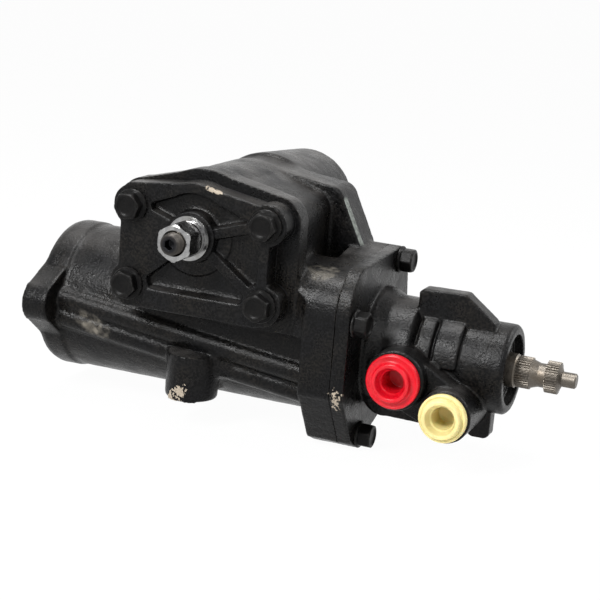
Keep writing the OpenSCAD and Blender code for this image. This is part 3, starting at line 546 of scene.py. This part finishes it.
# Hexagon and dished top of a bolt: distance below the top, and radius as a share of the apothem
BOLT_CROWN = ((0.7, 1.08), (0.2, 0.99))
BOLT_DISH = ((0, 0.92), (0, 0.8), (0.7, 0.7), (1.0, 0.55), (1.0, 0.2))

# Hexagon of the lock nut, above its collar and below its top, in the same way
NUT_FOOT = ((0.2, 1.04), (1.0, 1.12))
NUT_CROWN = ((0.9, 1.1), (0.3, 1.02))

# Ribs on the skirt of a port plug: how many, their spacing, and each one's height and depth
RIBS = 4
RIB_PITCH = 2.2
RIB_SHAPE = ((0.0, 0.5), (0.4, 0.0), (1.2, 0.0), (1.6, 0.5))


def islands(node):
    """The lowest and highest corner of each separate solid of a CAD node, in metres."""
    made = bmesh.new()
    made.from_mesh(frame["nodes"][node].data)
    bmesh.ops.remove_doubles(made, verts=made.verts, dist=1e-6)
    left = set(made.verts)
    boxes = []
    while left:
        waiting = [left.pop()]
        group = []
        while waiting:
            vert = waiting.pop()
            group.append(tuple(vert.co))
            near = {edge.other_vert(vert) for edge in vert.link_edges} & left
            left -= near
            waiting.extend(near)
        boxes.append((Vector(np.min(group, 0)), Vector(np.max(group, 0))))
    made.free()
    return sorted(boxes, key=lambda corners: tuple(round(c, 6) for c in corners[0]))


def hexagon(apothem, limit=math.inf, turn=0.0):
    """Radius of a hexagon with slightly rounded corners, by angle, cut off at a limit."""
    def radius(angle):
        facing = [max(0.0, math.cos(angle - turn - k * math.pi / 3)) ** HEX_CORNER for k in range(6)]
        return min(limit, apothem / sum(facing) ** (1 / HEX_CORNER))
    return radius


def threaded(low, high, radius, depth):
    """Rings of a helical thread between two heights."""
    def ring(height):
        return lambda angle: radius - depth * abs(2 * ((height / THREAD_PITCH - angle / math.tau) % 1) - 1)
    count = math.ceil((high - low) / THREAD_PITCH * THREAD_STEPS)
    heights = [low + (high - low) * i / count for i in range(count + 1)]
    return [(height, ring(height)) for height in heights]


def rounded(outline, radius, steps=4, most=0.45):
    """An open outline of (height, radius) with its corners rounded, each over part of its two sides."""
    points = [Vector(p) for p in outline]
    made = [points[0]]
    for before, bend, after in zip(points, points[1:], points[2:]):
        back, on = before - bend, after - bend
        cut = min(radius, most * back.length, most * on.length)
        start, end = bend + back.normalized() * cut, bend + on.normalized() * cut
        for i in range(steps + 1):
            t = i / steps
            made.append(start * (1 - t) ** 2 + bend * 2 * t * (1 - t) + end * t ** 2)
    return [tuple(p) for p in made + [points[-1]]]


def turned(name, node, body, base, axis, rings, loop=False, sharp_deg=32):
    """A piece turned about an axis from rings of (height, radius) in millimetres, in place of a node."""
    spin = Matrix.Translation(base) @ Vector((0, 0, 1)).rotation_difference(axis).to_matrix().to_4x4()
    points = []
    for height, radius in rings:
        for i in range(SEGMENTS):
            angle = math.tau * i / SEGMENTS
            r = radius(angle) if callable(radius) else radius
            points.append(spin @ (Vector((r * math.cos(angle), r * math.sin(angle), height)) * MM))
    count = len(rings)
    faces = []
    for k in range(count if loop else count - 1):
        a, b = k * SEGMENTS, (k + 1) % count * SEGMENTS
        for i in range(SEGMENTS):
            j = (i + 1) % SEGMENTS
            faces.append((a + i, a + j, b + j, b + i))
    if not loop:
        faces.append(tuple(range(SEGMENTS - 1, -1, -1)))
        faces.append(tuple(range((count - 1) * SEGMENTS, count * SEGMENTS)))
    mesh = bpy.data.meshes.new(name)
    mesh.from_pydata(points, [], faces)
    mesh.materials.append(LOOKS[slot_of[node]])
    obj = bpy.data.objects.new(name, mesh)
    scene.collection.objects.link(obj)
    mesh.shade_smooth()
    mesh.set_sharp_from_angle(angle=math.radians(sharp_deg))
    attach(obj, body)
    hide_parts(node)


def bolt_rings(thread_r, shank, flange_r, flange_t, apothem, head, turn):
    """A flanged hexagon bolt with a dished head, seated at zero."""
    thread_depth, point, bevel, foot = 0.8, 1.2, 0.4, 0.9
    plain = -PLAIN_SHANK * shank
    hexed = hexagon(apothem, turn=turn)
    crown = [(head - drop, hexagon(apothem, share * apothem, turn)) for drop, share in BOLT_CROWN]
    dish = [(head - drop, share * apothem) for drop, share in BOLT_DISH]
    return ([(-shank, thread_r - point)]
            + threaded(-shank + 1, plain, thread_r, thread_depth)
            + [(plain + 0.5, thread_r), (0, thread_r), (0, flange_r - bevel), (bevel, flange_r),
               (0.65 * flange_t, flange_r), (0.9 * flange_t, flange_r - bevel),
               (flange_t + 0.2, hexagon(apothem, flange_r - foot, turn)),
               (flange_t + 0.7, hexed), (head - 1.5, hexed)]
            + crown + dish)


def bolts(node, axis, thread_r, apothem, head, flange_t):
    """Detailed bolts in place of the plain ones of a node, each turned a little differently."""
    side = [k for k in range(3) if abs(axis[k]) < 0.5][0]
    for number, (low, high) in enumerate(islands(node)):
        middle = (low + high) / 2
        top = Vector([high[k] if axis[k] > 0 else low[k] for k in range(3)])
        base = middle + axis * ((top - middle).dot(axis) - head * MM)
        shank = abs((high - low).dot(axis)) / MM - head
        flange_r = (high - low)[side] / 2 / MM
        turn = BOLT_TURN + NEXT_TURN * number
        turned(f"{node}_{number + 1}", node, "housing", base, axis,
               bolt_rings(thread_r, shank, flange_r, flange_t, apothem, head, turn))


def back_centre(node):
    """The middle of the rear face of a node's box, and the node's length in millimetres."""
    low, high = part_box(node)
    return Vector(((low.x + high.x) / 2, high.y, (low.z + high.z) / 2)), (high.y - low.y) / MM


def lock_nut():
    """The adjuster's lock nut: a round collar on the washer and a chamfered hexagon."""
    node = "adjuster_locknut"
    base, length = back_centre(node)
    collar, collar_r, bore_r, apothem, bevel = 5.0, 11.4, 7.15, 11.0, 0.4
    hexed = hexagon(apothem)
    foot = [(collar + rise, hexagon(apothem, share * apothem)) for rise, share in NUT_FOOT]
    crown = [(length - drop, hexagon(apothem, share * apothem)) for drop, share in NUT_CROWN]
    rings = ([(0, bore_r), (0, collar_r - bevel), (bevel, collar_r), (collar - 0.5, collar_r),
              (collar, collar_r - 0.3)]
             + foot + [(collar + 1.4, hexed), (length - 1.7, hexed)] + crown
             + [(length, 0.97 * apothem), (length, bore_r + 1.1), (length - 1.0, bore_r + 0.1)])
    turned("lock_nut", node, "housing", base, FORWARD, rings, loop=True)


def adjuster():
    """The adjuster screw: a head inside the sector shaft, a fine thread and a hexagon socket."""
    node = "adjuster_screw"
    base, length = back_centre(node)
    head_r, head_t, screw_r, socket, bevel = 9.5, 4.0, 7.0, 3.0, 0.4
    plain, thread_depth = 8, 0.85
    rings = ([(0, head_r - 0.5), (0.5, head_r), (head_t - bevel, head_r), (head_t, head_r - bevel),
              (head_t, screw_r - 0.7)]
             + threaded(head_t + plain, length - 1.2, screw_r, thread_depth)
             + [(length - bevel, screw_r - 0.9), (length, screw_r - 1.4),
                (length, hexagon(socket + bevel)), (length - bevel, hexagon(socket)),
                (length - SOCKET_DEPTH, hexagon(socket)), (length - SOCKET_DEPTH - 0.6, 1.0)])
    turned("adjuster_stud", node, "housing", base, FORWARD, rings)


def port_plug(node, flange_r):
    """A moulded push-in plug: ribbed skirt, dished flange, proud ring and a stepped blind hole."""
    low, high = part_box(node)
    out, skirt_r, ring_r, hole_r, depth = 8.0, 8.7, 12.5, 7.0, 14.0
    flange_t, floor_t, first_rib, corner_r = 3.6, 1.7, 3, 0.7
    skirt = [(-depth, skirt_r - 1.0), (-depth + 1.6, skirt_r)]
    skirt += [(-depth + first_rib + RIB_PITCH * k + rise, skirt_r - sunk)
              for k in range(RIBS) for rise, sunk in RIB_SHAPE]
    flange = [(-0.2, skirt_r), (0, flange_r - 0.3), (0.3, flange_r), (flange_t, flange_r),
              (flange_t + 0.8, flange_r - 1.0), (flange_t + 0.3, flange_r - 2.2)]
    ring = [(flange_t + 0.2, ring_r + 0.9), (flange_t + 1.0, ring_r + 0.1), (out, ring_r - 0.3)]
    hole = [(out, hole_r + 3.0), (3.2, hole_r + 1.2), (2.4, hole_r + 0.3),
            (-depth + floor_t, hole_r), (-depth + floor_t, 0.4)]
    rings = rounded(skirt + flange + ring + hole, corner_r)
    base = Vector(((low.x + high.x) / 2, low.y + out * MM, (low.z + high.z) / 2))
    turned(node + "_moulding", node, node, base, FORWARD, rings, sharp_deg=50)


# Pieces

cast_skin("housing_casting", "gear_housing", 0.9, 5, 2, HOUSING_FILLETS)
cast_skin("valve_casting", "valve_housing", 0.7, 6, 4)
cast_skin("cover_casting", "sector_cover", 0.65, 6, 14, COVER_FILLETS)
bolts("cover_bolts", FORWARD, thread_r=6, apothem=8.0, head=9.0, flange_t=2.4)
bolts("valve_bolts", ALONG, thread_r=5, apothem=7.25, head=10.0, flange_t=2.0)
lock_nut()
adjuster()
port_plug("pressure_plug", flange_r=17.5)
port_plug("return_plug", flange_r=15.5)


# Camera, floor and light

# The camera as fitted to the photograph: its place in metres, its axes and its lens
CAMERA_AT = (0.4225, -1.1164, 0.2031)
CAMERA_RIGHT = (0.92187, 0.37902, 0.08066)
CAMERA_UP = (-0.16208, 0.18807, 0.96870)
CAMERA_BACK = (0.35199, -0.90608, 0.23480)
LENS = 96
SENSOR = 36

# How much of the floor's own light is seen, its colour and its reach, and the light of the world
FLOOR_GLOW = 0.97
FLOOR_GREY = (0.9, 0.9, 0.9, 1)
FLOOR_REACH = 30.0
WHITE = (1, 1, 1, 1)
WORLD_LIGHT = 0.22

# Name, place, width, height and power of each lamp
LAMPS = [
    ("key", (-0.33, -1.16, 0.74), 0.28, 0.55, 22),
    ("overhead", (-0.2, -0.15, 1.1), 0.40, 0.40, 12),
    ("front_right", (0.9, -1.0, 0.9), 0.30, 0.30, 5),
    ("right_rear", (0.9, 0.4, 0.6), 0.40, 0.40, 6),
]


def add_camera():
    """The camera of the photograph."""
    data = bpy.data.cameras.new("camera")
    data.lens = LENS
    data.sensor_width = SENSOR
    camera = bpy.data.objects.new("camera", data)
    scene.collection.objects.link(camera)
    axes = Matrix((CAMERA_RIGHT, CAMERA_UP, CAMERA_BACK)).transposed().to_4x4()
    camera.matrix_world = Matrix.Translation(CAMERA_AT) @ axes
    scene.camera = camera


def white_where_seen(tree, shown, lit):
    """Joins two shaders: shown for camera, glossy and transmission rays, lit for the rest."""
    path = tree.nodes.new("ShaderNodeLightPath")
    share = path.outputs["Is Camera Ray"]
    for ray in ("Is Glossy Ray", "Is Transmission Ray"):
        either = tree.nodes.new("ShaderNodeMath")
        either.operation = "MAXIMUM"
        tree.links.new(share, either.inputs[0])
        tree.links.new(path.outputs[ray], either.inputs[1])
        share = either.outputs["Value"]
    mix = tree.nodes.new("ShaderNodeMixShader")
    tree.links.new(share, mix.inputs["Fac"])
    tree.links.new(lit, mix.inputs[1])
    tree.links.new(shown, mix.inputs[2])
    return mix.outputs["Shader"]


def floor_material():
    """A pale floor that is white where it is seen and keeps a soft shadow."""
    material = bpy.data.materials.new("floor")
    material.use_nodes = True
    tree = material.node_tree
    tree.nodes.clear()
    plain = tree.nodes.new("ShaderNodeBsdfDiffuse")
    plain.inputs["Color"].default_value = FLOOR_GREY
    glow = tree.nodes.new("ShaderNodeEmission")
    seen = tree.nodes.new("ShaderNodeMixShader")
    seen.inputs["Fac"].default_value = FLOOR_GLOW
    tree.links.new(plain.outputs["BSDF"], seen.inputs[1])
    tree.links.new(glow.outputs["Emission"], seen.inputs[2])
    surface = white_where_seen(tree, seen.outputs["Shader"], plain.outputs["BSDF"])
    tree.links.new(surface, tree.nodes.new("ShaderNodeOutputMaterial").inputs["Surface"])
    return material


def add_floor():
    """A wide floor under the part."""
    corners = [(x * FLOOR_REACH, y * FLOOR_REACH, 0) for x, y in ((-1, -1), (1, -1), (1, 1), (-1, 1))]
    mesh = bpy.data.meshes.new("floor")
    mesh.from_pydata(corners, [], [(0, 1, 2, 3)])
    mesh.materials.append(floor_material())
    floor = bpy.data.objects.new("floor", mesh)
    scene.collection.objects.link(floor)
    floor.location = (0, 0, cad_box[0].z)


def add_world():
    """A white background that lights the part only faintly."""
    world = bpy.data.worlds.new("studio")
    scene.world = world
    world.use_nodes = True
    tree = world.node_tree
    tree.nodes.clear()
    shown, lit = (tree.nodes.new("ShaderNodeBackground") for _ in range(2))
    shown.inputs["Color"].default_value = WHITE
    lit.inputs["Color"].default_value = WHITE
    lit.inputs["Strength"].default_value = WORLD_LIGHT
    surface = white_where_seen(tree, shown.outputs["Background"], lit.outputs["Background"])
    tree.links.new(surface, tree.nodes.new("ShaderNodeOutputWorld").inputs["Surface"])


def add_lamps():
    """Soft lamps that face the middle of the part."""
    centre = (cad_box[0] + cad_box[1]) / 2
    for name, spot, width, height, power in LAMPS:
        data = bpy.data.lights.new(name, "AREA")
        data.shape = "RECTANGLE"
        data.size = width
        data.size_y = height
        data.energy = power
        lamp = bpy.data.objects.new(name, data)
        scene.collection.objects.link(lamp)
        lamp.location = spot
        lamp.rotation_mode = "QUATERNION"
        lamp.rotation_quaternion = (centre - Vector(spot)).to_track_quat("-Z", "Y")


add_camera()
add_floor()
add_world()
add_lamps()
scene.view_settings.view_transform = "Standard"
